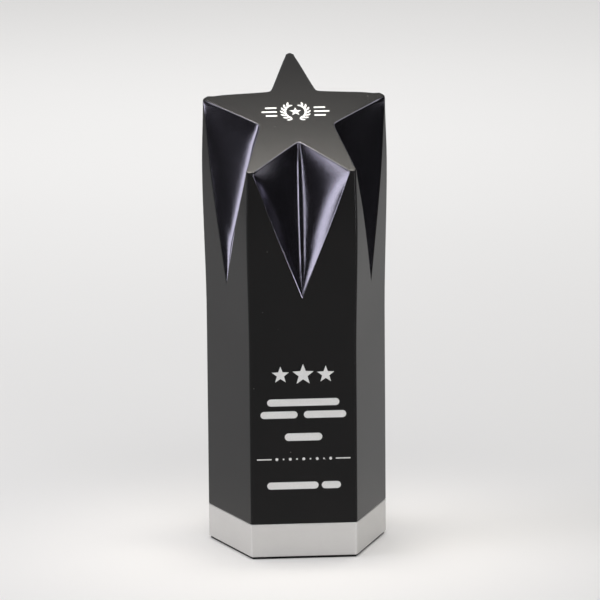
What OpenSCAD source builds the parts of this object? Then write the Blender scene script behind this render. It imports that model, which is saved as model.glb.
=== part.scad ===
// Star trophy: a solid cast column of five faces whose slanted top is a five-pointed star.
// A dished scoop is cut into each face, from the notch between two points of the star down to a sharp tip.
// The column is screwed and pinned to a flush aluminium base that stands on a soft pad.
// Millimetres, +Z up. The front face looks along -Y. The origin is the middle of the resting face,
// on the line that the five points of the star radiate from.

/* [Column plan] */
// Width of the front face between its two corner lines
front_w = 44; // [34:0.5:52]
// Width across the two side corners
span_w = 75.5; // [64:0.5:92]
// Distance from the star's centre line to the front face
front_reach = 30; // [25:0.5:38]
// Distance of the side corners behind the star's centre line
side_reach = 9.2; // [5:0.1:12]
// Distance from the star's centre line to the back corner
back_reach = 32.5; // [27:0.5:40]
// Radius of the column's upright edges
edge_r = 1.2; // [0.5:0.1:2.4]

/* [Heights] */
// Height of the column's front face above the base
column_h = 149; // [122:1:190]
// Slope of the star, in degrees from level
star_tilt = 32; // [22:1:40]
// Height of the aluminium base
base_h = 14; // [13:0.5:20]
// Thickness of the pad under the base
pad_t = 1; // [0.6:0.1:3]
// Distance of the pad's outline inside the base's outline
pad_inset = 0.8; // [0.3:0.1:3]

/* [Star and scoops] */
// Distance of the star's front notch from its centre line
front_notch_r = 14.3; // [11:0.1:18]
// Distance of the two side notches from the centre line
side_notch_r = 16.1; // [12:0.1:20]
// Distance of the two back notches from the centre line
back_notch_r = 15.2; // [12:0.1:19]
// Width left beside a rounded corner where the front scoop starts
front_tip_flat = 1.6; // [0.3:0.1:3]
// Width left beside a rounded corner where the two side scoops start
side_tip_flat = 0.3; // [0.2:0.1:3]
// Width left beside a rounded corner where the two back scoops start
back_tip_flat = 1.1; // [0.2:0.1:3]
// Height of the front scoop's lower tip above the base
scoop_tip_h = 96; // [84:0.5:108]
// How much higher the other scoops' lower tips are
side_tip_rise = 2.5; // [0:0.5:6]
// Height of the square lip between the star and the top of each scoop
scoop_lip = 0.5; // [0.2:0.1:1.2]
// How far each half of a scoop is dished below a flat cut
scoop_dish = 1.1; // [0:0.1:2]

/* [Swell of the upper column] */
// How far the front face swells outwards at its fullest height
swell = 1.05; // [0:0.05:2.5]
// Share of the local height where the swell starts
swell_start = 0.47; // [0.47:0.01:0.6]
// Share of the local height where the swell is fullest
swell_peak = 0.84; // [0.7:0.01:0.92]
// Share of the swell that is left at the star
swell_left = 0.45; // [0:0.05:0.6]

/* [Screws, inserts and dowels] */
// Distance of the three screws from the star's centre line
screw_ring_r = 17; // [14:0.5:20]
// Thread diameter of the screws
screw_d = 5; // [4:0.5:6]
// Length of a screw under its head
screw_len = 20; // [16:1:24]
// Diameter of a screw's head
head_d = 8.5; // [7:0.1:9]
// Height of a screw's head
head_h = 5; // [4:0.1:6]
// Width across the flats of a screw's socket
socket_af = 4; // [3:0.5:5]
// Thickness of a lock washer
washer_t = 1.2; // [0.8:0.1:1.6]
// Diameter of a lock washer
washer_d = 9.2; // [8.6:0.1:10]
// Width of the split in a lock washer
washer_split = 0.8; // [0.5:0.1:1.2]
// Diameter of the counterbores under the base
counterbore_d = 10; // [9:0.1:12]
// Gap between a screw's head and the pad
head_gap = 0.4; // [0.2:0.1:1]
// Outer diameter of a threaded insert
insert_d = 8; // [7:0.1:9]
// Length of a threaded insert
insert_len = 12.5; // [10:0.5:16]
// Depth of the two ring grooves in a threaded insert
insert_groove = 0.5; // [0.2:0.1:0.8]
// Diameter of the two dowel pins
dowel_d = 4; // [3:0.5:5]
// Length of the dowel pins
dowel_len = 14; // [10:1:18]
// Distance between the two dowel pins
dowel_pitch = 30; // [28:1:34]
// Least gap between a dowel pin and a threaded insert, front to back
dowel_clear = 0.5; // [0.5:0.25:1.5]
// Gap all round a screw in its insert, and an insert or dowel in its bore
fit_gap = 0.05; // [0.02:0.01:0.1]
// Gap all round a screw in the base
screw_gap = 0.25; // [0.1:0.05:0.5]

/* [Printed marks] */
// Thickness of the white ink
ink_t = 0.1; // [0.05:0.05:0.3]
// Height of the top line of marks on the front face, above the base, measured to its middle
top_line_h = 63.5; // [56:0.5:64]
// Distance up the star's slope from its centre line to the wreath's middle
wreath_rise = 1.2; // [-2:0.1:2]
// Radius of the wreath on the star
wreath_r = 6; // [5:0.1:6.5]
// Length of the longest bar on each side of the wreath
wing_len = 6.5; // [4:0.1:7]
// Number of leaves on each side of the wreath
wreath_leaves = 7; // [5:1:9]

/* [Hidden] */

base_z = pad_t;
column_z = base_z + base_h;
star_rise = tan(star_tilt);
face_count = 5;
arc_steps = 3;
half_scoop_steps = 7;
face_rows = 9;
scoop_rows = 6;

// Virtual corners of the plan, anticlockwise from the front right one
corners = [
  [front_w / 2, -front_reach],
  [span_w / 2, side_reach],
  [0, back_reach],
  [-span_w / 2, side_reach],
  [-front_w / 2, -front_reach]
];

function corner(i) = corners[(i + face_count) % face_count];
function unit(v) = v / norm(v);
function cross2(a, b) = a[0] * b[1] - a[1] * b[0];

// Face i runs from corner i to corner i + 1. Faces 1 and 2 are the two at the back.
function face_dir(i) = unit(corner(i + 1) - corner(i));
function face_len(i) = norm(corner(i + 1) - corner(i));
function face_mid(i) = (corner(i) + corner(i + 1)) / 2;
front_face = 4;
function is_back_face(i) = i == 1 || i == 2;
function notch_r(i) = i == front_face ? front_notch_r : is_back_face(i) ? back_notch_r : side_notch_r;
function notch(i) = notch_r(i) * unit(unit(corner(i)) + unit(corner(i + 1)));
function tip_flat(i) = i == front_face ? front_tip_flat : is_back_face(i) ? back_tip_flat : side_tip_flat;
function scoop_low_h(i) = i == front_face ? scoop_tip_h : scoop_tip_h + side_tip_rise;

// Turn of the outline at corner i, in degrees, and the length that a fillet of radius r takes from each face
function corner_turn(i) = acos(face_dir(i - 1) * face_dir(i));
function fillet_len(i, r) = r * tan(corner_turn(i) / 2);

// The fillet at corner i: its centre, and its points at the given number of steps
function left_normal(d) = [-d[1], d[0]];
function fillet_centre(i, r) =
  corner(i) - face_dir(i - 1) * fillet_len(i, r) + left_normal(face_dir(i - 1)) * r;
function fillet_points(i, r, steps) =
  let (
    centre = fillet_centre(i, r),
    first = atan2(-left_normal(face_dir(i - 1))[1], -left_normal(face_dir(i - 1))[0])
  )
  [
    for (k = [0:steps])
      let (a = first + corner_turn(i) * k / steps)
      centre + r * [cos(a), sin(a)]
  ];

// The plan with rounded corners, drawn a distance inset inside the virtual corners' outline
function inset_corner(i, inset) =
  let (turn = corner_turn(i), n = left_normal(face_dir(i - 1)))
  corner(i) + n * inset - face_dir(i - 1) * inset * tan(turn / 2);
function plan_outline(inset = 0, steps = 6) =
  [
    for (i = [0:face_count - 1])
      let (shift = inset_corner(i, inset) - corner(i))
      for (p = fillet_points(i, edge_r, steps)) p + shift
  ];

// Height of the star's plane over a plan point, above the column's foot
function star_h(p) = column_h + (p[1] + front_reach) * star_rise;

// The column's plan grows by this factor at a share s of the local height
function smooth(x) = let (c = min(1, max(0, x))) c * c * (3 - 2 * c);
function swell_at(s) =
  s < swell_peak
    ? smooth((s - swell_start) / (swell_peak - swell_start))
    : 1 - (1 - swell_left) * smooth((s - swell_peak) / (1 - swell_peak));
function grown(p, h) = p * (1 + swell / front_reach * swell_at(h / star_h(p)));

// One station of the column's skin: [foot point, height where the plain face ends, edge point of the star,
// depth of the dish halfway up the scoop, inward direction of the dish]
function plain_station(p) = [p, star_h(p) - scoop_lip, p, 0, [0, 0]];
function scoop_station(i, side, share) =
  let (
    end = side < 0 ? i : (i + 1) % face_count,
    blunt = corner(end) - side * face_dir(i) * (fillet_len(end, edge_r) + tip_flat(i)),
    foot = blunt + (face_mid(i) - blunt) * share,
    end_h = (star_h(blunt) - scoop_lip) * (1 - share) + scoop_low_h(i) * share,
    edge = blunt + (notch(i) - blunt) * share,
    edge_dir = unit(notch(i) - blunt),
    inward = side < 0 ? left_normal(edge_dir) : -left_normal(edge_dir)
  )
  [foot, end_h, edge, scoop_dish * sin(180 * share), inward];
function face_stations(i) =
  [
    for (k = [0:half_scoop_steps]) scoop_station(i, -1, k / half_scoop_steps),
    for (k = [half_scoop_steps - 1:-1:0]) scoop_station(i, 1, k / half_scoop_steps)
  ];
function corner_stations(i) = [for (p = fillet_points(i, edge_r, arc_steps)) plain_station(p)];
stations = [for (i = [0:face_count - 1]) each concat(corner_stations(i), face_stations(i))];

// Points up one station: the plain face first, then the scoop, up to the star's edge
function face_point(st, h) = let (p = grown(st[0], h)) [p[0], p[1], h];
function scoop_point(st, v) =
  let (
    low = face_point(st, st[1]),
    edge = st[2] * (1 + swell / front_reach * swell_left * (st[0] == st[2] ? 1 : 0)),
    top = [edge[0], edge[1], star_h(edge)],
    dish = st[3] * sin(180 * v)
  )
  low + (top - low) * v + [st[4][0], st[4][1], 0] * dish;
function row_heights(st) =
  let (start = min(star_h(st[0]) * swell_start, st[1] * 0.8))
  [0, for (k = [0:face_rows - 1]) start + (st[1] - start) * k / (face_rows - 1)];
function station_points(st) =
  [
    for (h = row_heights(st)) face_point(st, h),
    for (k = [1:scoop_rows]) scoop_point(st, k / scoop_rows)
  ];

row_count = face_rows + 1 + scoop_rows;
station_count = len(stations);
skin_points = concat([for (st = stations) each station_points(st)], [[0, 0, 0], [0, 0, star_h([0, 0])]]);
foot_centre = station_count * row_count;
star_centre = foot_centre + 1;
skin_faces = [
  for (s = [0:station_count - 1])
    let (a = s * row_count, b = ((s + 1) % station_count) * row_count)
    each [
      [a, b, foot_centre],
      [b + row_count - 1, a + row_count - 1, star_centre],
      for (r = [0:row_count - 2]) each [[a + r, a + r + 1, b + r], [b + r, a + r + 1, b + r + 1]]
    ]
];

// Places of the three screws and the two dowels
screw_places = [for (a = [-90, 30, 150]) screw_ring_r * [cos(a), sin(a)]];
dowel_back = screw_places[1].y - (insert_d + dowel_d) / 2 - dowel_clear;
dowel_places = [for (side = [-1, 1]) [side * dowel_pitch / 2, dowel_back]];
module at_screws() {
  for (p = screw_places) translate(p) children();
}
module at_dowels() {
  for (p = dowel_places) translate(p) children();
}

// Heights of the screw stack, from the resting face up
head_z = base_z + head_gap;
washer_z = head_z + head_h;
seat_z = washer_z + washer_t;
screw_top_z = washer_z + screw_len;
insert_bore_len = max(insert_len, screw_top_z - column_z) + 1;
dowel_bore_len = dowel_len / 2 + 0.5;

module round_bore(d, z, len) {
  translate([0, 0, z]) cylinder(d = d, h = len, $fn = 48);
}

module star_column() {
  color("#1b1b1d")
    difference() {
      translate([0, 0, column_z]) polyhedron(points = skin_points, faces = skin_faces, convexity = 6);
      at_screws() round_bore(insert_d + 2 * fit_gap, column_z - 1, insert_bore_len + 1);
      at_dowels() round_bore(dowel_d + 2 * fit_gap, column_z - 1, dowel_bore_len + 1);
    }
}

module base_block() {
  color("#c9cacc")
    difference() {
      translate([0, 0, base_z]) linear_extrude(base_h) polygon(plan_outline());
      at_screws() {
        round_bore(counterbore_d, base_z - 1, seat_z - base_z + 1);
        round_bore(screw_d + 2 * screw_gap, base_z, base_h + 1);
      }
      at_dowels() round_bore(dowel_d + 2 * fit_gap, column_z - dowel_bore_len, dowel_bore_len + 1);
    }
}

module base_pad() {
  color("#0b0b0c") linear_extrude(pad_t) polygon(plan_outline(pad_inset));
}

module base_screws() {
  socket_depth = head_h / 2;
  color("#8d8f92")
    at_screws()
      difference() {
        union() {
          round_bore(head_d, head_z, head_h);
          round_bore(screw_d, washer_z, screw_len);
        }
        translate([0, 0, head_z - 1]) cylinder(d = socket_af / cos(30), h = socket_depth + 1, $fn = 6);
      }
}

module lock_washers() {
  color("#b7b9bb")
    at_screws()
      difference() {
        round_bore(washer_d, washer_z, washer_t);
        round_bore(screw_d + 2 * fit_gap, washer_z - 1, washer_t + 2);
        translate([0, -washer_split / 2, washer_z - 1]) cube([washer_d, washer_split, washer_t + 2]);
      }
}

module threaded_inserts() {
  groove_w = insert_len / 8;
  color("#b08d3f")
    at_screws()
      difference() {
        round_bore(insert_d, column_z, insert_len);
        round_bore(screw_d + 2 * fit_gap, column_z - 1, insert_len + 2);
        for (share = [0.3, 0.6])
          difference() {
            round_bore(insert_d + 1, column_z + insert_len * share, groove_w);
            round_bore(insert_d - 2 * insert_groove, column_z + insert_len * share - 1, groove_w + 2);
          }
      }
}

module dowel_pins() {
  color("#9fa1a4") at_dowels() round_bore(dowel_d, column_z - dowel_len / 2, dowel_len);
}

// A flat bar of length w with round ends
end_steps = 8;
module bar_mark(w, h) {
  polygon([
    for (end = [0, 1], k = [0:end_steps])
      let (a = -90 + 180 * end + 180 * k / end_steps)
      [(0.5 - end) * (w - h) + h / 2 * cos(a), h / 2 * sin(a)]
  ]);
}

// A flat five-pointed star mark
star_mark_waist = 0.42;
module star_mark(r) {
  polygon([for (k = [0:9]) (k % 2 == 0 ? r : r * star_mark_waist) * [cos(90 + 36 * k), sin(90 + 36 * k)]]);
}

// A pointed leaf along +X from the origin, bounded by two equal arcs
leaf_points = 6;
module leaf_mark(len, w) {
  polygon([
    for (k = [0:leaf_points]) [len * k / leaf_points, w / 2 * sin(180 * k / leaf_points)],
    for (k = [leaf_points - 1:-1:1]) [len * k / leaf_points, -w / 2 * sin(180 * k / leaf_points)]
  ]);
}

// Two laurel branches round a small star
module wreath_mark(r) {
  leaf_len = r * 0.42;
  leaf_w = r * 0.16;
  for (side = [-1, 1], k = [0:wreath_leaves - 1]) {
    along = -72 + 118 * k / (wreath_leaves - 1);
    place = r * 0.8 * [side * cos(along), sin(along)];
    for (lean = [-1, 1]) translate(place) rotate(90 + side * along + lean * 32) leaf_mark(leaf_len, leaf_w);
  }
  star_mark(r * 0.42);
}

// A fan of three bars on each side of the wreath
module wing_marks(r) {
  bar_h = r * 0.15;
  for (side = [-1, 1], k = [-1:1]) {
    bar_w = wing_len * (1 - 0.25 * abs(k));
    translate([side * (r * 1.28 + bar_w / 2), k * r * 0.4]) bar_mark(bar_w, bar_h);
  }
}

module star_print() {
  color("#f2f2f0")
    translate([0, -front_reach, column_z + column_h])
      rotate([star_tilt, 0, 0])
        translate([0, front_reach / cos(star_tilt) + wreath_rise, 0])
          linear_extrude(ink_t) {
            wreath_mark(wreath_r);
            wing_marks(wreath_r);
          }
}

// The lines of the front panel, from the top: each is [drop below the top line, [[x, width, height], ...]]
panel_lines = [
  [11.7, [[0, 30, 3]]],
  [16.9, [[-10.1, 15.4, 3], [9, 17.6, 3]]],
  [26.4, [[0, 15.6, 3.2]]],
  [35.8, [[-16.4, 6.2, 0.5], [16.4, 6.2, 0.5]]],
  [47.1, [[-4.6, 21.4, 3], [11.4, 8, 3]]]
];
flourish_drop = 35.8;
flourish_pitch = 2.8;
module panel_print() {
  color("#f2f2f0")
    translate([0, -front_reach, column_z + top_line_h])
      rotate([90, 0, 0])
        linear_extrude(ink_t) {
          for (k = [-1:1]) translate([k * 9.4, 0]) star_mark(k == 0 ? 4.6 : 3.7);
          for (line = panel_lines, mark = line[1]) translate([mark[0], -line[0]]) bar_mark(mark[1], mark[2]);
          for (k = [-4:4])
            translate([k * flourish_pitch, -flourish_drop]) circle(d = k % 2 == 0 ? 1.2 : 0.7, $fn = 16);
        }
}

star_column();
base_block();
base_pad();
base_screws();
lock_washers();
threaded_inserts();
dowel_pins();
star_print();
panel_print();
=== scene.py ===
import math

import bpy
import numpy as np
from bpy.props import FloatProperty, PointerProperty, StringProperty
from mathutils import Matrix, Vector


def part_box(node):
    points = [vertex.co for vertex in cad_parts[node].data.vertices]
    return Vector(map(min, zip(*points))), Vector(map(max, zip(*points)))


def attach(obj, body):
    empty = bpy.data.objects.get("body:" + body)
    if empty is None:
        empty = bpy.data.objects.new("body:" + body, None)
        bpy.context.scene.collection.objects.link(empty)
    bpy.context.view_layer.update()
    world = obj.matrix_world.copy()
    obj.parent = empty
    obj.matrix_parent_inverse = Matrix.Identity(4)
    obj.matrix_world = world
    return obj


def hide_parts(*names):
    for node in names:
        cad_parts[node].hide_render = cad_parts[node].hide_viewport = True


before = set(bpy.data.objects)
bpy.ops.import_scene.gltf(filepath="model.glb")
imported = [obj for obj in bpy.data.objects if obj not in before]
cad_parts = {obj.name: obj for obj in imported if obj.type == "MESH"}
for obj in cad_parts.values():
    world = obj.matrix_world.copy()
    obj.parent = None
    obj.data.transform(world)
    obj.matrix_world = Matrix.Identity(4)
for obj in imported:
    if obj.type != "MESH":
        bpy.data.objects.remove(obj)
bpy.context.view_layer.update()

bl_info = {
    "name": "Star Trophy",
    "version": (1, 0, 0),
    "blender": (4, 5, 0),
    "location": "View3D > Sidebar > Trophy",
    "description": "Builds the surfaces, finishes, lights and camera of a star trophy round its packed parts",
    "category": "Add Mesh",
}

BODY = "root"


# ---------------------------------------------------------------- sizes and colours


class ColumnSizes(bpy.types.PropertyGroup):
    """Sizes of the cast column, its star and its scoops."""

    front_w: FloatProperty(
        name="Front width", description="Width of the front face between its corner lines",
        default=0.044, unit="LENGTH")
    span_w: FloatProperty(
        name="Span", description="Width across the two side corners",
        default=0.0755, unit="LENGTH")
    front_reach: FloatProperty(
        name="Front reach", description="From the star's centre line to the front face",
        default=0.030, unit="LENGTH")
    side_reach: FloatProperty(
        name="Side reach", description="How far the side corners lie behind the centre line",
        default=0.0092, unit="LENGTH")
    back_reach: FloatProperty(
        name="Back reach", description="From the centre line to the back corner",
        default=0.0325, unit="LENGTH")
    edge_r: FloatProperty(
        name="Edge radius", description="Radius of the upright edges",
        default=0.0012, unit="LENGTH")
    height: FloatProperty(
        name="Front height", description="Height of the front face above the base",
        default=0.149, unit="LENGTH")
    tilt: FloatProperty(
        name="Star tilt", description="Slope of the star's plane",
        default=math.radians(32), unit="ROTATION")
    notch_front: FloatProperty(
        name="Front notch", description="From the centre line to the front notch",
        default=0.0143, unit="LENGTH")
    notch_side: FloatProperty(
        name="Side notches", description="From the centre line to the side notches",
        default=0.0161, unit="LENGTH")
    notch_back: FloatProperty(
        name="Back notches", description="From the centre line to the back notches",
        default=0.0152, unit="LENGTH")
    tip_h: FloatProperty(
        name="Scoop tip", description="Height of the front scoop's lower tip above the base",
        default=0.096, unit="LENGTH")
    tip_rise: FloatProperty(
        name="Side tip rise", description="How much higher the other scoops' tips are",
        default=0.0025, unit="LENGTH")
    dish: FloatProperty(
        name="Dish", description="How far each half of the front scoop is dished",
        default=0.0011, unit="LENGTH")
    side_dish: FloatProperty(
        name="Side dish", description="How far each half of the other scoops is dished",
        default=0.0004, unit="LENGTH")
    valley: FloatProperty(
        name="Valley", description="Softness of a scoop's middle crease, as a share of its half width",
        default=0.075, min=0.0, max=0.3)
    swell: FloatProperty(
        name="Swell", description="How far the front face swells at its fullest height",
        default=0.00098, unit="LENGTH")


class BaseSizes(bpy.types.PropertyGroup):
    """Sizes of the metal base and its pad."""

    chamfer: FloatProperty(
        name="Edge break", description="Radius of the broken edges of the base",
        default=0.00035, unit="LENGTH")
    pad_inset: FloatProperty(
        name="Pad inset", description="How far the pad sits inside the base",
        default=0.0008, unit="LENGTH")


class FinishColours(bpy.types.PropertyGroup):
    """Colours of the finishes, as sRGB hex values."""

    paint: StringProperty(
        name="Matt paint", description="Sprayed matt black on the column", default="#101010")
    lacquer: StringProperty(
        name="Scoop lacquer", description="Gunmetal flake lacquer in the scoops", default="#6A6872")
    metal: StringProperty(name="Aluminium", description="Satin aluminium of the base", default="#D6D5D3")
    pad: StringProperty(name="Pad", description="Foam rubber under the base", default="#0E0E0E")
    ink: StringProperty(name="Ink", description="Screen-printed marks", default="#E6E6E4")
    floor: StringProperty(name="Floor", description="The plain floor", default="#E4E3E2")


class StageSettings(bpy.types.PropertyGroup):
    """Lights and lens."""

    top_light: FloatProperty(
        name="Top box", description="Radiance of the soft box over the trophy", default=52.0, min=0.0)
    left_light: FloatProperty(
        name="Left box", description="Radiance of the soft box at the left", default=3.1, min=0.0)
    strip_light: FloatProperty(
        name="Strips", description="Radiance of the strips in front", default=5.5, min=0.0)
    fill_light: FloatProperty(
        name="Front fill", description="Radiance of the soft box above the camera", default=1.0, min=0.0)
    back_light: FloatProperty(
        name="Back box", description="Radiance of the box over the floor behind", default=9.0, min=0.0)
    dome_light: FloatProperty(
        name="Dome", description="Radiance of the studio's ceiling", default=1.25, min=0.0)
    lens: FloatProperty(
        name="Lens", description="Focal length on a 36 mm sensor, in millimetres", default=323.0, min=20.0)


# ---------------------------------------------------------------- shapes


def unit(v):
    """Each vector divided by its length."""
    return v / np.linalg.norm(v, axis=-1, keepdims=True)


def ease(x):
    """0 below 0, 1 above 1 and 3 x squared - 2 x cubed between."""
    c = np.clip(x, 0.0, 1.0)
    return c * c * (3 - 2 * c)


def crowd(n, pull):
    """n shares from 0 to 1 that crowd towards both ends: t - pull * sin(2 pi t) / (2 pi)."""
    t = np.linspace(0.0, 1.0, n)
    return t - pull * np.sin(2 * np.pi * t) / (2 * np.pi)


def bezier(a, b, c, n):
    """n rows of the curve that leaves a towards b and reaches c from b: (1-t)^2 a + 2 t (1-t) b + t^2 c."""
    t = np.linspace(0, 1, n)[:, None, None]
    return (1 - t) ** 2 * a + 2 * t * (1 - t) * b + t * t * c


def corner_points(s):
    """The five virtual corners of the plan, anticlockwise: front right, right, back, left, front left."""
    f, w = s.front_w / 2, s.span_w / 2
    front, side = -s.front_reach, s.side_reach
    return np.array([[f, front], [w, side], [0.0, s.back_reach], [-w, side], [-f, front]])


def corner_arcs(corners, radius, n):
    """Each corner's fillet: n points on the arc that touches both sides, its outward normals, and the length
    that it takes from a side. A point lies at centre + radius * (cos a, sin a), with a running from one
    side's outward normal to the next side's."""
    before = unit(corners - np.roll(corners, 1, axis=0))
    after = unit(np.roll(corners, -1, axis=0) - corners)
    turn = np.arccos(np.sum(before * after, axis=1))
    take = radius * np.tan(turn / 2)
    inward = np.stack([-before[:, 1], before[:, 0]], axis=1)
    centre = corners - before * take[:, None] + inward * radius
    first = np.arctan2(-inward[:, 1], -inward[:, 0])
    a = first[:, None] + turn[:, None] * np.linspace(0, 1, n)[None, :]
    normal = np.stack([np.cos(a), np.sin(a)], axis=2)
    return centre[:, None, :] + radius * normal, normal, take


def closed_rings(name, rings, slots=None):
    """A closed mesh from rings stacked from the bottom up, shape (rows, points, 3), each joined to the next
    by quads, with the first and last ring closed by a fan to their middle. slots gives each quad's material
    index, shape (rows - 1, points)."""
    rows, n, _ = rings.shape
    poles = np.stack([rings[0].mean(axis=0), rings[-1].mean(axis=0)])
    verts = np.concatenate([rings.reshape(-1, 3), poles])
    here = np.arange(n)
    there = (here + 1) % n
    r = np.arange(rows - 1)[:, None] * n
    quads = np.stack([r + here, r + there, r + n + there, r + n + here], axis=2).reshape(-1, 4)
    last = (rows - 1) * n
    low = np.stack([there, here, np.full(n, rows * n)], axis=1)
    high = np.stack([last + here, last + there, np.full(n, rows * n + 1)], axis=1)
    loops = np.concatenate([quads.ravel(), low.ravel(), high.ravel()])
    sizes = np.concatenate([np.full(len(quads), 4), np.full(2 * n, 3)])
    mesh = bpy.data.meshes.new(name)
    mesh.vertices.add(len(verts))
    mesh.vertices.foreach_set("co", verts.astype(np.float32).ravel())
    mesh.loops.add(len(loops))
    mesh.loops.foreach_set("vertex_index", loops.astype(np.int32))
    mesh.polygons.add(len(sizes))
    mesh.polygons.foreach_set("loop_start", (np.cumsum(sizes) - sizes).astype(np.int32))
    if slots is not None:
        index = np.concatenate([slots.ravel(), np.zeros(2 * n)])
        mesh.polygons.foreach_set("material_index", index.astype(np.int32))
    mesh.update(calc_edges=True)
    mesh.validate()
    mesh.polygons.foreach_set("use_smooth", np.ones(len(mesh.polygons), dtype=bool))
    piece = bpy.data.objects.new(name, mesh)
    bpy.context.scene.collection.objects.link(piece)
    return piece


# By corner, in the order of corner_points: how far the painted rim comes down below a star point, and the
# rounding of the star's edge at that point. By face, starting at the right one: the blunt end of a star point
# that is left beside each corner's arc. Lengths in metres.
LIP = np.array([0.0010, 0.0024, 0.0014, 0.0024, 0.0010])
TIP_ROUND = np.array([0.0009, 0.0017, 0.0012, 0.0017, 0.0009])
TIP_FLAT = np.array([0.0003, 0.0011, 0.0011, 0.0003, 0.0016])
FRONT = 4

# The swell starts at this share of the height, is full at the second, and has SWELL_LEFT left at the star.
SWELL_START, SWELL_PEAK, SWELL_LEFT = 0.47, 0.84, 0.45

# Roundings in metres: the column's foot, the scoop's outer edge, and the star's edge between its points.
# The scoop's edge never takes more than LOW_MOST of the scoop, nor the star's more than HIGH_MOST. The star's
# edge reaches HIGH_LONGER times as far down the scoop as it does over the star. The larger rounding of a star
# point dies away within about TIP_FADE times its size.
FOOT_EDGE, SCOOP_EDGE, STAR_EDGE = 0.0003, 0.0010, 0.00045
LOW_MOST, HIGH_MOST, HIGH_LONGER, TIP_FADE = 0.4, 0.5, 1.1, 2.6

# A crease softens over the lowest CREASE_OPENS of the scoop's height, and above CREASE_FROM it sharpens again
# by CREASE_CLOSES.
CREASE_OPENS, CREASE_FROM, CREASE_CLOSES = 0.22, 0.85, 0.45

# Points of the grid: along a corner's arc and half a face, then the rows of each part of the column.
ARC_POINTS, HALF_FACE_POINTS = 9, 36
FOOT_ROWS, FACE_ROWS, SCOOP_EDGE_ROWS, SCOOP_ROWS, STAR_EDGE_ROWS, STAR_ROWS = 4, 46, 7, 60, 8, 18

# How strongly points crowd towards both ends of a run, and the power that crowds the star's rows to its edge.
HALF_FACE_PULL, FACE_PULL, SCOOP_PULL, SIDE_PULL, STAR_POWER = 0.8, 0.7, 0.75, 0.9, 1.8

# Where the star's rounded edge turns a corner, its mitre is divided by this at least, to limit its length.
MITRE_LEAST = 0.35

# Lacquer starts this many rows below the top of the scoop's rounded edge in the front scoop, and this many
# in the others; it ends this many rows below the top of the star's rounded edge.
FRONT_LACQUER_ROWS, SIDE_LACQUER_ROWS, LACQUER_END_ROWS = 5, 1, 3


def star_height(s, p):
    """Height of the star's plane above the base over plan points p: it rises from the front by the tilt."""
    return s.height + (p[..., 1] + s.front_reach) * math.tan(s.tilt)


def growth(s, p, h):
    """Growth of the plan over p at height h: 1 to half way up, most at the peak and less at the star."""
    share = h / star_height(s, p)
    rise = ease((share - SWELL_START) / (SWELL_PEAK - SWELL_START))
    fall = 1 - (1 - SWELL_LEFT) * ease((share - SWELL_PEAK) / (1 - SWELL_PEAK))
    return (1 + s.swell / s.front_reach * np.where(share < SWELL_PEAK, rise, fall))[..., None]


def column_stations(s):
    """The stations round the column: each corner's arc, then each face from one blunt star point to the next,
    with q from -1 through 0 at the scoop's middle to 1. A station has its plan point at the foot, the plan
    points of its blunt point, face middle and notch, the height of the scoop's edge, q, the side of the
    middle that it is on (0 on an arc), its corner and its dish."""
    corners = corner_points(s)
    arcs, _, take = corner_arcs(corners, s.edge_r, ARC_POINTS)
    mids = (corners + np.roll(corners, -1, axis=0)) / 2
    notch_r = np.array([s.notch_side, s.notch_back, s.notch_back, s.notch_side, s.notch_front])
    notches = notch_r[:, None] * unit(unit(corners) + unit(np.roll(corners, -1, axis=0)))
    share = crowd(HALF_FACE_POINTS, HALF_FACE_PULL)
    runs = []

    def run(foot, blunt, mid, notch, *numbers):
        """One run of stations: a value that is the same all along it is repeated."""
        plan = [np.broadcast_to(p, foot.shape) for p in (foot, blunt, mid, notch)]
        runs.append(plan + [np.broadcast_to(x, len(foot)) for x in numbers])

    for i in range(5):
        j = (i + 1) % 5
        arc = arcs[i]
        run(arc, arc, arc, arc, star_height(s, arc) - LIP[i], 1.0, 0.0, i, 0.0)
        along = unit(corners[j] - corners[i])
        ends = (corners[i] + along * (take[i] + TIP_FLAT[i]), corners[j] - along * (take[j] + TIP_FLAT[i]))
        tip = s.tip_h + (0 if i == FRONT else s.tip_rise)
        dish = s.dish if i == FRONT else s.side_dish
        for end, corner, side, sh in ((ends[0], i, -1.0, share), (ends[1], j, 1.0, share[::-1][1:])):
            foot = end + (mids[i] - end) * sh[:, None]
            low = (star_height(s, end) - LIP[corner]) * (1 - sh) + tip * sh
            run(foot, end, mids[i], notches[i], low, side * (1 - sh), side, corner, dish)
    return [np.concatenate(values) for values in zip(*runs)]


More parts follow.
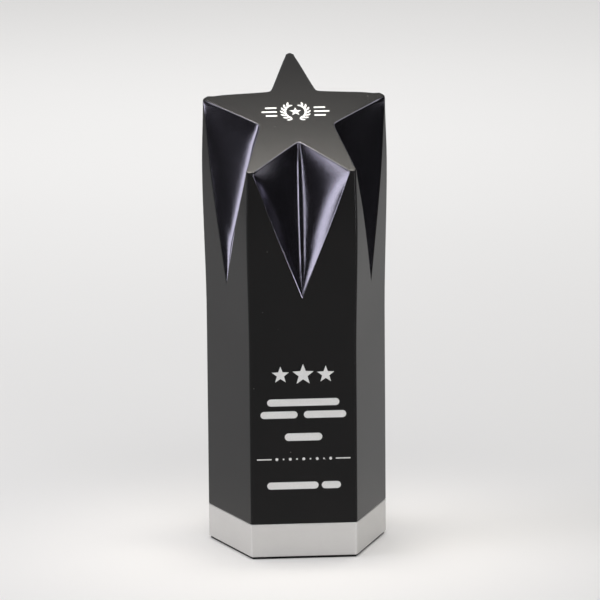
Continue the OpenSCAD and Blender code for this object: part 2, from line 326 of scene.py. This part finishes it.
def column_skin(s, foot_z):
    """The column's skin as rings from the foot to the middle of the star, and each quad's material index.
    Up a station run the rows: the plain face to the scoop's edge, a rounded edge, the scoop, a rounded
    edge, and the star to its middle. Share is 1 - |q|. The scoop's edge falls in a straight line with share,
    from the blunt point's height to the tip's, and the star's edge runs in a straight line from the blunt
    point to the notch. A scoop point is low + (top - low) v plus a dish of sin(pi share) sin(pi v), and near
    the middle |q| gives way to sqrt(q^2 + e^2), which rounds the crease. The plan grows a little between
    half height and the star."""
    foot, blunt, mid, notch, low, q, side, corner_of, dish = column_stations(s)
    plain = side == 0
    share = np.where(plain, 0.0, 1 - np.abs(q))
    low_blunt = star_height(s, blunt) - LIP[corner_of]
    low_tip = np.where(share > 1e-9, (low - low_blunt * (1 - share)) / np.maximum(share, 1e-9), low)
    top_blunt = blunt * (1 + s.swell / s.front_reach * SWELL_LEFT)
    edge_dir = unit(np.where(plain[:, None], [[1.0, 0.0]], notch - blunt + 1e-12))
    dish_dir = np.stack([-edge_dir[:, 1], edge_dir[:, 0]], axis=1) * -side[:, None]

    def scoop(v):
        """The points at share v of the way up the scoop, for one v or for one v a station."""
        v = np.broadcast_to(v, q.shape)
        closing = CREASE_CLOSES * ease((v - CREASE_FROM) / (1 - CREASE_FROM))
        e = s.valley * ease(v / CREASE_OPENS) * (1 - closing)
        soft = (np.sqrt(q * q + e * e) - np.abs(q)) * (1 - np.abs(q)) ** 2
        inner = np.where(plain, 0.0, share - soft)
        low_h = np.where(plain, low, low_blunt * (1 - inner) + low_tip * inner)
        low_xy = foot * growth(s, foot, low_h)
        top_xy = top_blunt + (mid - top_blunt) * share[:, None] + (notch - mid) * inner[:, None]
        top_xy = np.where(plain[:, None], top_blunt, top_xy)
        depth = dish * np.sin(np.pi * inner) * np.sin(np.pi * v)
        xy = low_xy + (top_xy - low_xy) * v[:, None] + dish_dir * depth[:, None]
        z = low_h + (star_height(s, top_xy) - low_h) * v
        return np.concatenate([xy, z[:, None]], axis=1)

    def face(h):
        """The points of the plain face at heights h, shape (rows, stations)."""
        xy = foot[None] * growth(s, np.broadcast_to(foot, h.shape + (2,)), h)
        return np.concatenate([xy, h[..., None]], axis=2)

    # how wide each rounded edge is at each station, and the shares of the scoop that they leave
    reach = np.linalg.norm(scoop(1.0) - scoop(0.0), axis=1)
    tip_round = TIP_ROUND[corner_of]
    from_tip = share * np.linalg.norm(notch - blunt, axis=1)
    tipness = np.where(plain, 1.0, np.exp(-((from_tip / (TIP_FADE * tip_round)) ** 2)))
    star_edge = STAR_EDGE + (tip_round - STAR_EDGE) * tipness
    scoop_edge = np.minimum(SCOOP_EDGE, LOW_MOST * reach)
    up = scoop_edge / reach
    down = 1 - np.minimum(star_edge * HIGH_LONGER, HIGH_MOST * reach) / reach

    # the foot's rounded edge, the plain face and the scoop's rounded edge
    flat = np.zeros((len(foot), 1))
    under = np.concatenate([foot - unit(foot) * FOOT_EDGE, flat], axis=1)
    ground = np.concatenate([foot, flat], axis=1)
    t = crowd(FACE_ROWS, FACE_PULL)[1:-1, None]
    rows = [
        bezier(under, ground, ground + [0, 0, FOOT_EDGE], FOOT_ROWS),
        face(FOOT_EDGE + (low - scoop_edge - FOOT_EDGE)[None, :] * t),
        bezier(face((low - scoop_edge)[None, :])[0], scoop(0.0), scoop(up), SCOOP_EDGE_ROWS),
    ]
    scoop_row = sum(len(r) for r in rows)

    # the scoop, then the star's rounded edge: inwards at right angles to the edge, straight back at a point
    rows.append(np.stack([scoop(up + (down - up) * x) for x in crowd(SCOOP_ROWS, SCOOP_PULL)[1:-1]]))
    rim = scoop(1.0)
    ahead = np.roll(rim, -1, axis=0)[:, :2] - rim[:, :2]
    behind = rim[:, :2] - np.roll(rim, 1, axis=0)[:, :2]
    n1 = unit(np.stack([-behind[:, 1], behind[:, 0]], axis=1))
    n2 = unit(np.stack([-ahead[:, 1], ahead[:, 0]], axis=1))
    mitre = (n1 + n2) / np.maximum(1 + np.sum(n1 * n2, axis=1), MITRE_LEAST)[:, None]
    inward = mitre * (1 - tipness)[:, None] - unit(rim[:, :2]) * tipness[:, None]
    inner_xy = rim[:, :2] + unit(inward) * star_edge[:, None]
    inner = np.concatenate([inner_xy, star_height(s, inner_xy)[:, None]], axis=1)
    rows.append(bezier(scoop(down), rim, inner, STAR_EDGE_ROWS))
    star_row = sum(len(r) for r in rows)

    # the star's flat, shrinking to its middle
    middle = np.array([0.0, 0.0, star_height(s, np.zeros(2))])
    t = (np.linspace(0, 1, STAR_ROWS)[1:-1] ** STAR_POWER)[:, None, None]
    rows.append(inner + (middle - inner) * t)

    rings = np.concatenate(rows) + [0, 0, foot_z]
    slots = np.zeros(rings.shape[:2], dtype=int)[:-1]
    in_scoop = ~plain & ~np.roll(plain, -1)
    lacquer_end = star_row - LACQUER_END_ROWS
    slots[scoop_row - SIDE_LACQUER_ROWS : lacquer_end, in_scoop] = 1
    slots[scoop_row - FRONT_LACQUER_ROWS : lacquer_end, in_scoop & (dish == s.dish)] = 1
    return rings, slots


# The base and its pad: points round a corner, points along a face of each, and the pad's edge in metres with
# its steps.
OUTLINE_ARC_POINTS, BASE_SIDE_POINTS, PAD_SIDE_POINTS = 7, 16, 12
PAD_EDGE, PAD_EDGE_STEPS = 0.00012, 3


def rounded_outline(s, sides):
    """The plan's rounded outline and its outward normals: each corner's arc, then the given count of points
    along the straight face after it, less its two ends, which the arcs already have."""
    arcs, normals, _ = corner_arcs(corner_points(s), s.edge_r, OUTLINE_ARC_POINTS)
    t = crowd(sides, SIDE_PULL)[1:-1, None]
    points, outward = [], []
    for i in range(5):
        a, b = arcs[i][-1], arcs[(i + 1) % 5][0]
        points += [arcs[i], a + (b - a) * t]
        outward += [normals[i], np.repeat(normals[i][-1:], sides - 2, axis=0)]
    return np.concatenate(points), np.concatenate(outward)


def prism_skin(outline, normals, profile):
    """Rings round an outline: at each (inset, height) of the profile it moves in along its normals."""
    flat = np.ones((len(outline), 1))
    return np.stack([np.concatenate([outline - normals * d, flat * z], axis=1) for d, z in profile])


def broken_edge_profile(z0, z1, r, steps=4):
    """(inset, height) pairs up a side with quarter-round edges of radius r at its foot and head, running in
    at both ends to 4 r, with rows close to each edge that keep its shading crisp."""
    a = np.linspace(0, np.pi / 2, steps + 1)
    foot = [(r - r * math.sin(x), z0 + r - r * math.cos(x)) for x in a]
    head = [(r - r * math.cos(x), z1 - r + r * math.sin(x)) for x in a]
    near, inside, far = 1.6 * r, 1.5 * r, 4 * r
    return [(far, z0), (inside, z0), *foot, (0, z0 + near), (0, z1 - near), *head, (inside, z1), (far, z1)]


# ---------------------------------------------------------------- finishes

# Mix has a set of sockets for each kind of value: these are the ones for numbers and for colours.
NUMBER_A, NUMBER_B, MIXED_NUMBER = 2, 3, 0
COLOUR_A, COLOUR_B, MIXED_COLOUR = 6, 7, 2

# A noise's Fac hardly ever leaves this span.
NOISE = {"From Min": 0.3, "From Max": 0.7}

# Wave runs through one band in this many units at a scale of 1.
WAVE_BAND = 2 * math.pi / 20


def linear(hex_colour):
    """sRGB hex to linear RGBA."""
    c = np.array([int(hex_colour[i : i + 2], 16) for i in (1, 3, 5)]) / 255
    c = np.where(c <= 0.04045, c / 12.92, ((c + 0.055) / 1.055) ** 2.4)
    return (*c.tolist(), 1.0)


def feed(tree, node, inputs):
    """Gives a node's sockets what they take: a number, a colour or another node's output."""
    for socket, value in inputs.items():
        if isinstance(value, bpy.types.NodeSocket):
            tree.links.new(value, node.inputs[socket])
        else:
            node.inputs[socket].default_value = value


def add(tree, kind, inputs=None, **settings):
    """Adds a node with its inputs, as feed takes them, and its own options."""
    node = tree.nodes.new(kind)
    for key, value in settings.items():
        setattr(node, key, value)
    feed(tree, node, inputs or {})
    return node


def new_material(name):
    """An empty node material: its tree, its Principled shader and the object's coordinates."""
    material = bpy.data.materials.new(name)
    material.use_nodes = True
    tree = material.node_tree
    tree.nodes.clear()
    shader = add(tree, "ShaderNodeBsdfPrincipled")
    add(tree, "ShaderNodeOutputMaterial", {"Surface": shader.outputs["BSDF"]})
    place = add(tree, "ShaderNodeTexCoord").outputs["Object"]
    return material, tree, shader, place


def per_mm(size):
    """The pattern scale that gives features of about this size in millimetres on coordinates in metres."""
    return 1000.0 / size


def matt_paint(colours):
    """Two-pack matt black sprayed on cast polyester resin: a fine dry grain, faint drift in tone and a few
    dust nibs under the last coat."""
    material, tree, shader, place = new_material("matt_black_spray_on_cast_resin")
    drift = add(tree, "ShaderNodeTexNoise", {"Vector": place, "Scale": per_mm(24), "Detail": 3.0})
    tone = add(tree, "ShaderNodeMapRange", {"Value": drift.outputs["Fac"], **NOISE})
    body = add(tree, "ShaderNodeMix", {
        "Factor": tone.outputs["Result"], COLOUR_A: linear(colours.paint), COLOUR_B: linear("#131212"),
    }, data_type="RGBA")
    # dust nibs 0.2 to 0.4 mm across, in about half of the cells, which are 9 mm apart
    cells = add(tree, "ShaderNodeTexVoronoi", {"Vector": place, "Scale": per_mm(9), "Randomness": 1.0})
    nib = add(tree, "ShaderNodeMapRange", {
        "Value": cells.outputs["Distance"],
        "From Min": 0.012, "From Max": 0.022, "To Min": 1.0, "To Max": 0.0})
    pick = add(tree, "ShaderNodeMath", {0: cells.outputs["Color"], 1: 0.45}, operation="GREATER_THAN")
    dust = add(tree, "ShaderNodeMath", {0: nib.outputs["Result"], 1: pick.outputs[0]}, operation="MULTIPLY")
    faint = add(tree, "ShaderNodeMath", {0: dust.outputs[0], 1: 0.5}, operation="MULTIPLY")
    colour = add(tree, "ShaderNodeMix", {
        "Factor": faint.outputs[0], COLOUR_A: body.outputs[MIXED_COLOUR], COLOUR_B: linear("#9A9894"),
    }, data_type="RGBA")
    # the dry grain of matt spray is about 0.1 mm; drawn at 0.35 mm so that it shows
    grain = add(tree, "ShaderNodeTexNoise", {
        "Vector": place, "Scale": per_mm(0.35), "Detail": 4.0, "Roughness": 0.6})
    rough = add(tree, "ShaderNodeMapRange", {
        "Value": grain.outputs["Fac"], **NOISE, "To Min": 0.21, "To Max": 0.26})
    bump = add(tree, "ShaderNodeBump", {
        "Height": grain.outputs["Fac"], "Strength": 0.10, "Distance": 0.00012})
    feed(tree, shader, {
        "Base Color": colour.outputs[MIXED_COLOUR], "Roughness": rough.outputs["Result"],
        "Normal": bump.outputs["Normal"], "Specular IOR Level": 0.17})
    return material


def flake_lacquer(colours):
    """Gunmetal metallic lacquer, sprayed and left glossy: fine aluminium flake under a clear coat, cool
    lavender where it catches a light."""
    material, tree, shader, place = new_material("gunmetal_flake_lacquer")
    # flake is about 0.03 mm; drawn at 0.28 mm so that it shows
    flake = add(tree, "ShaderNodeTexVoronoi", {"Vector": place, "Scale": per_mm(0.28), "Randomness": 1.0})
    body = add(tree, "ShaderNodeMix", {
        "Factor": flake.outputs["Color"], COLOUR_A: linear(colours.lacquer), COLOUR_B: linear("#7E7C87"),
    }, data_type="RGBA")
    flow = add(tree, "ShaderNodeTexNoise", {"Vector": place, "Scale": per_mm(0.6), "Detail": 3.0})
    rough = add(tree, "ShaderNodeMapRange", {
        "Value": flow.outputs["Fac"], **NOISE, "To Min": 0.12, "To Max": 0.18})
    bump = add(tree, "ShaderNodeBump", {
        "Height": flake.outputs["Distance"], "Strength": 0.14, "Distance": 0.0001})
    feed(tree, shader, {
        "Base Color": body.outputs[MIXED_COLOUR], "Roughness": rough.outputs["Result"],
        "Normal": bump.outputs["Normal"], "Metallic": 1.0, "Coat Weight": 0.25, "Coat Roughness": 0.06})
    return material


def satin_aluminium(colours):
    """Aluminium bar, faces fine milled and then satin anodised: an even soft sheen with a faint grain along
    each face."""
    material, tree, shader, place = new_material("satin_anodised_aluminium")
    # the grain is about 0.1 mm, drawn at 0.3 mm so that it shows, and stretched level as milling leaves it
    stretch = add(tree, "ShaderNodeMapping", {"Vector": place, "Scale": (0.12, 0.12, 1.0)})
    lines = add(tree, "ShaderNodeTexNoise", {
        "Vector": stretch.outputs["Vector"], "Scale": per_mm(0.3), "Detail": 3.0})
    cloud = add(tree, "ShaderNodeTexNoise", {"Vector": place, "Scale": per_mm(9), "Detail": 4.0})
    rough = add(tree, "ShaderNodeMapRange", {
        "Value": lines.outputs["Fac"], **NOISE, "To Min": 0.44, "To Max": 0.52})
    tone = add(tree, "ShaderNodeMix", {
        "Factor": cloud.outputs["Fac"], COLOUR_A: linear(colours.metal), COLOUR_B: linear("#DCDBD9"),
    }, data_type="RGBA")
    bump = add(tree, "ShaderNodeBump", {"Height": lines.outputs["Fac"], "Strength": 0.06, "Distance": 0.0001})
    feed(tree, shader, {
        "Base Color": tone.outputs[MIXED_COLOUR], "Roughness": rough.outputs["Result"],
        "Normal": bump.outputs["Normal"], "Metallic": 1.0})
    return material


def foam_pad(colours):
    """Die-cut EVA foam rubber: dead black and open grained, with almost no sheen."""
    material, tree, shader, place = new_material("die_cut_foam_rubber")
    cells = add(tree, "ShaderNodeTexVoronoi", {"Vector": place, "Scale": per_mm(0.3)})
    tone = add(tree, "ShaderNodeMix", {
        "Factor": cells.outputs["Distance"], COLOUR_A: linear("#060606"), COLOUR_B: linear(colours.pad),
    }, data_type="RGBA")
    bump = add(tree, "ShaderNodeBump", {
        "Height": cells.outputs["Distance"], "Strength": 0.4, "Distance": 0.0001})
    feed(tree, shader, {
        "Base Color": tone.outputs[MIXED_COLOUR], "Normal": bump.outputs["Normal"], "Roughness": 0.85})
    return material


def screen_ink(colours):
    """Screen-printed epoxy ink: opaque silver-white, slightly glossy, with the mesh's faint unevenness in its
    film."""
    material, tree, shader, place = new_material("screen_printed_white_ink")
    film = add(tree, "ShaderNodeTexNoise", {"Vector": place, "Scale": per_mm(0.4), "Detail": 2.0})
    tone = add(tree, "ShaderNodeMix", {
        "Factor": film.outputs["Fac"], COLOUR_A: linear("#D0D0CE"), COLOUR_B: linear(colours.ink),
    }, data_type="RGBA")
    feed(tree, shader, {"Base Color": tone.outputs[MIXED_COLOUR], "Roughness": 0.38})
    return material


def turned_metal(name, light, dark, roughness, pitch):
    """Turned or headed metal: level tool marks at the given pitch in millimetres up the piece, in two close
    tones."""
    material, tree, shader, place = new_material(name)
    marks = add(tree, "ShaderNodeTexWave", {
        "Vector": place, "Scale": WAVE_BAND * per_mm(pitch), "Distortion": 0.6, "Detail": 2.0,
    }, bands_direction="Z")
    tone = add(tree, "ShaderNodeMix", {
        "Factor": marks.outputs["Fac"], COLOUR_A: linear(dark), COLOUR_B: linear(light),
    }, data_type="RGBA")
    bump = add(tree, "ShaderNodeBump", {"Height": marks.outputs["Fac"], "Strength": 0.1, "Distance": 0.00005})
    feed(tree, shader, {
        "Base Color": tone.outputs[MIXED_COLOUR], "Normal": bump.outputs["Normal"],
        "Metallic": 1.0, "Roughness": roughness})
    return material


def pale_floor(colours):
    """Seamless background paper: matt, pale and very slightly uneven, in patches about 0.3 m wide."""
    material, tree, shader, place = new_material("seamless_background_paper")
    cloud = add(tree, "ShaderNodeTexNoise", {"Vector": place, "Scale": 3.0, "Detail": 2.0})
    tone = add(tree, "ShaderNodeMix", {
        "Factor": cloud.outputs["Fac"], COLOUR_A: linear(colours.floor), COLOUR_B: linear("#E7E6E5"),
    }, data_type="RGBA")
    feed(tree, shader, {
        "Base Color": tone.outputs[MIXED_COLOUR], "Roughness": 0.9, "Specular IOR Level": 0.1})
    return material


# The hidden fixings: material name, light tone, dark tone, roughness and pitch of the tool marks.
FIXING_FINISHES = {
    "base_screws": ("zinc_plated_steel", "#B9BCC2", "#8F9298", 0.32, 1.579),
    "lock_washers": ("zinc_plated_spring_steel", "#A9ACB1", "#7E8186", 0.38, 0.7896),
    "threaded_inserts": ("turned_brass", "#D9B469", "#B58E45", 0.25, 0.987),
    "dowel_pins": ("ground_steel", "#C4C5C8", "#A4A5A9", 0.18, 0.3948),
}


def dress(piece, *materials):
    """Gives a piece its materials, in slot order."""
    slots = piece.data.materials
    while len(slots) < len(materials):
        slots.append(None)
    for number, material in enumerate(materials):
        slots[number] = material


# ---------------------------------------------------------------- lights and camera

# The floor is a disc, in metres. The lights aim at a point at this height on the centre line.
FLOOR_RADIUS, FLOOR_INNER, FLOOR_THICK, FLOOR_POINTS = 4.0, 0.5, 0.02, 96
AIM = Vector((0.0, 0.0, 0.14))

# Colours of the light, and the spread of an open soft box in degrees.
WARM, COOL, NEUTRAL, PLAIN = "#FFF9F0", "#F8F7FF", "#FFFEFA", "#FFFFFF"
OPEN = 180

# The low strip is this many times as bright as the others.
LOW_STRIP_TIMES = 7

# The dome brightens from DOME_DIM to full between these heights of a ray; the camera sees this pale level.
DOME_FROM, DOME_FULL, DOME_DIM, DOME_SHOWN = 0.45, 0.75, 0.02, 0.84

# The camera's bearing in degrees and its place in metres.
CAMERA_TURN, CAMERA_PITCH, CAMERA_ROLL = 4.16, 12.16, 0.48
CAMERA_PLACE = Vector((-0.15835, -2.1933, 0.5775))


def round_the_trophy(azimuth, elevation, distance):
    """A place at a bearing from the trophy: 0 is straight in front, 90 to its right, and elevation is above
    level."""
    a, e = math.radians(azimuth), math.radians(elevation)
    return AIM + distance * Vector((math.sin(a) * math.cos(e), -math.cos(a) * math.cos(e), math.sin(e)))


def soft_box(name, place, aim, width, depth, radiance, colour, spread):
    """An area light of the given brightness along its axis, unseen by the camera: power is pi * area *
    radiance, times (tan h - h) / tan h where a grid narrows the beam to h either side of the axis."""
    h = math.radians(spread / 2)
    beam = 1.0 if spread >= OPEN else (math.tan(h) - h) / math.tan(h)
    light = bpy.data.lights.new(name, "AREA")
    light.shape = "RECTANGLE"
    light.size, light.size_y, light.spread = width, depth, math.radians(spread)
    light.energy = math.pi * width * depth * radiance * beam
    light.color = linear(colour)[:3]
    lamp = bpy.data.objects.new(name, light)
    lamp.location = place
    lamp.rotation_euler = (Vector(aim) - Vector(place)).to_track_quat("-Z", "Y").to_euler()
    lamp.visible_camera = False
    bpy.context.scene.collection.objects.link(lamp)


def studio_dome(scene, radiance):
    """The studio: dim near the horizon, a bright dome overhead, and pale where the camera looks past the
    floor."""
    world = bpy.data.worlds.new("studio")
    scene.world = world
    world.use_nodes = True
    tree = world.node_tree
    ray = add(tree, "ShaderNodeTexCoord").outputs["Generated"]
    height = add(tree, "ShaderNodeSeparateXYZ", {"Vector": ray}).outputs["Z"]
    dome = add(tree, "ShaderNodeMapRange", {
        "Value": height, "From Min": DOME_FROM, "From Max": DOME_FULL, "To Min": DOME_DIM, "To Max": radiance,
    }, interpolation_type="SMOOTHSTEP")
    shown = add(tree, "ShaderNodeLightPath").outputs["Is Camera Ray"]
    level = add(tree, "ShaderNodeMix", {
        "Factor": shown, NUMBER_A: dome.outputs["Result"], NUMBER_B: DOME_SHOWN})
    feed(tree, tree.nodes["Background"], {
        "Strength": level.outputs[MIXED_NUMBER], "Color": (1.0, 1.0, 1.0, 1.0)})


def place_camera(scene, lens):
    """The camera: turned to the right, pitched down and rolled about its axis, in that order."""
    camera = bpy.data.cameras.new("camera")
    camera.sensor_width, camera.lens = 36.0, lens
    camera.clip_start, camera.clip_end = 0.1, 50.0
    eye = bpy.data.objects.new("camera", camera)
    scene.collection.objects.link(eye)
    turn, pitch, roll = (math.radians(d) for d in (CAMERA_TURN, CAMERA_PITCH, CAMERA_ROLL))
    ahead = Vector((math.sin(turn) * math.cos(pitch), math.cos(turn) * math.cos(pitch), -math.sin(pitch)))
    right = Vector((math.cos(turn), -math.sin(turn), 0.0))
    up = right.cross(ahead)
    across = right * math.cos(roll) - up * math.sin(roll)
    up = right * math.sin(roll) + up * math.cos(roll)
    axes = Matrix((across, up, -ahead)).transposed().to_4x4()
    eye.matrix_world = Matrix.Translation(CAMERA_PLACE) @ axes
    scene.camera = eye


# ---------------------------------------------------------------- operators


class TROPHY_OT_star_column(bpy.types.Operator):
    """The cast column with its star and its lacquered scoops."""

    bl_idname = "trophy.star_column"
    bl_label = "Star column"

    def execute(self, context):
        colours = context.scene.trophy_colours
        low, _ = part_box("star_column")
        rings, slots = column_skin(context.scene.trophy_column, low.z)
        piece = closed_rings("cast_column", rings, slots)
        dress(piece, matt_paint(colours), flake_lacquer(colours))
        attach(piece, BODY)
        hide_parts("star_column")
        return {"FINISHED"}


class TROPHY_OT_base_block(bpy.types.Operator):
    """The satin aluminium base with finely broken edges."""

    bl_idname = "trophy.base_block"
    bl_label = "Base block"

    def execute(self, context):
        low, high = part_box("base_block")
        outline, normals = rounded_outline(context.scene.trophy_column, BASE_SIDE_POINTS)
        profile = broken_edge_profile(low.z, high.z, context.scene.trophy_base.chamfer)
        piece = closed_rings("aluminium_base", prism_skin(outline, normals, profile))
        dress(piece, satin_aluminium(context.scene.trophy_colours))
        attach(piece, BODY)
        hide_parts("base_block")
        return {"FINISHED"}


class TROPHY_OT_base_pad(bpy.types.Operator):
    """The foam pad under the base, its edges crushed slightly round by the die."""

    bl_idname = "trophy.base_pad"
    bl_label = "Base pad"

    def execute(self, context):
        low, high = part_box("base_pad")
        outline, normals = rounded_outline(context.scene.trophy_column, PAD_SIDE_POINTS)
        outline = outline - normals * context.scene.trophy_base.pad_inset
        profile = broken_edge_profile(low.z, high.z, PAD_EDGE, PAD_EDGE_STEPS)
        piece = closed_rings("foam_pad", prism_skin(outline, normals, profile))
        dress(piece, foam_pad(context.scene.trophy_colours))
        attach(piece, BODY)
        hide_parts("base_pad")
        return {"FINISHED"}


class TROPHY_OT_prints(bpy.types.Operator):
    """The ink of the wreath on the star and of the marks on the front panel."""

    bl_idname = "trophy.prints"
    bl_label = "Printed marks"

    def execute(self, context):
        ink = screen_ink(context.scene.trophy_colours)
        for name in ("star_print", "panel_print"):
            dress(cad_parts[name], ink)
        return {"FINISHED"}


class TROPHY_OT_fixings(bpy.types.Operator):
    """The screws, washers, inserts and dowels that hold the column to the base."""

    bl_idname = "trophy.fixings"
    bl_label = "Fixings"

    def execute(self, context):
        for name, finish in FIXING_FINISHES.items():
            dress(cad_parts[name], turned_metal(*finish))
        return {"FINISHED"}


class TROPHY_OT_stage(bpy.types.Operator):
    """The floor, the soft lights and the camera."""

    bl_idname = "trophy.stage"
    bl_label = "Stage"

    def execute(self, context):
        scene, g = context.scene, context.scene.trophy_stage
        scene.view_settings.view_transform = "Standard"
        a = np.linspace(0, 2 * np.pi, FLOOR_POINTS, endpoint=False)
        ring = np.stack([np.cos(a), np.sin(a), np.zeros(FLOOR_POINTS)], axis=1)
        rim = ring * FLOOR_RADIUS
        floor = closed_rings("floor", np.stack([rim - [0, 0, FLOOR_THICK], rim, ring * FLOOR_INNER]))
        dress(floor, pale_floor(scene.trophy_colours))

        # name, place, aim, width, depth, radiance, colour and spread of each soft box
        left, right, strip = round_the_trophy(-36, 16, 1.0), round_the_trophy(22, 16, 1.0), g.strip_light
        for box in (
            ("top_box", (0.0, 0.0, 0.42), (0.0, -0.015, 0.0), 0.11, 0.055, g.top_light, WARM, 42),
            ("left_box", round_the_trophy(-81, 12, 0.9), AIM, 0.50, 0.56, g.left_light, COOL, OPEN),
            ("left_strip", left, AIM, 0.10, 0.16, strip, COOL, 60),
            ("right_strip", right, AIM, 0.20, 0.20, strip, COOL, 60),
            ("front_fill", round_the_trophy(-4, 42, 1.2), AIM, 0.60, 0.50, g.fill_light, NEUTRAL, OPEN),
            ("back_box", (0.0, 1.0, 1.3), (0.0, 1.0, 0.0), 0.50, 0.50, g.back_light, PLAIN, 74),
            ("low_strip", round_the_trophy(34, -3, 1.0), AIM, 0.07, 0.18, LOW_STRIP_TIMES * strip, COOL, 40),
        ):
            soft_box(*box)
        studio_dome(scene, g.dome_light)
        place_camera(scene, g.lens)
        return {"FINISHED"}


class TROPHY_PT_panel(bpy.types.Panel):
    """The steps that build the trophy, in order, and its sizes, colours and lights."""

    bl_idname = "TROPHY_PT_panel"
    bl_label = "Star Trophy"
    bl_space_type = "VIEW_3D"
    bl_region_type = "UI"
    bl_category = "Trophy"

    def draw(self, context):
        for step in STEPS:
            self.layout.operator(step.bl_idname)
        for group in GROUPS:
            box = self.layout.box()
            for name in GROUPS[group].__annotations__:
                box.prop(getattr(context.scene, group), name)


STEPS = (
    TROPHY_OT_star_column,
    TROPHY_OT_base_block,
    TROPHY_OT_base_pad,
    TROPHY_OT_prints,
    TROPHY_OT_fixings,
    TROPHY_OT_stage,
)
GROUPS = {
    "trophy_column": ColumnSizes,
    "trophy_base": BaseSizes,
    "trophy_colours": FinishColours,
    "trophy_stage": StageSettings,
}


def register():
    for group in GROUPS:
        bpy.utils.register_class(GROUPS[group])
        setattr(bpy.types.Scene, group, PointerProperty(type=GROUPS[group]))
    for step in (*STEPS, TROPHY_PT_panel):
        bpy.utils.register_class(step)


def unregister():
    for step in reversed((*STEPS, TROPHY_PT_panel)):
        bpy.utils.unregister_class(step)
    for group in reversed(list(GROUPS)):
        delattr(bpy.types.Scene, group)
        bpy.utils.unregister_class(GROUPS[group])


def main():
    register()
    for step in ("star_column", "base_block", "base_pad", "prints", "fixings", "stage"):
        getattr(bpy.ops.trophy, step)()


if __name__ == "__main__":
    main()
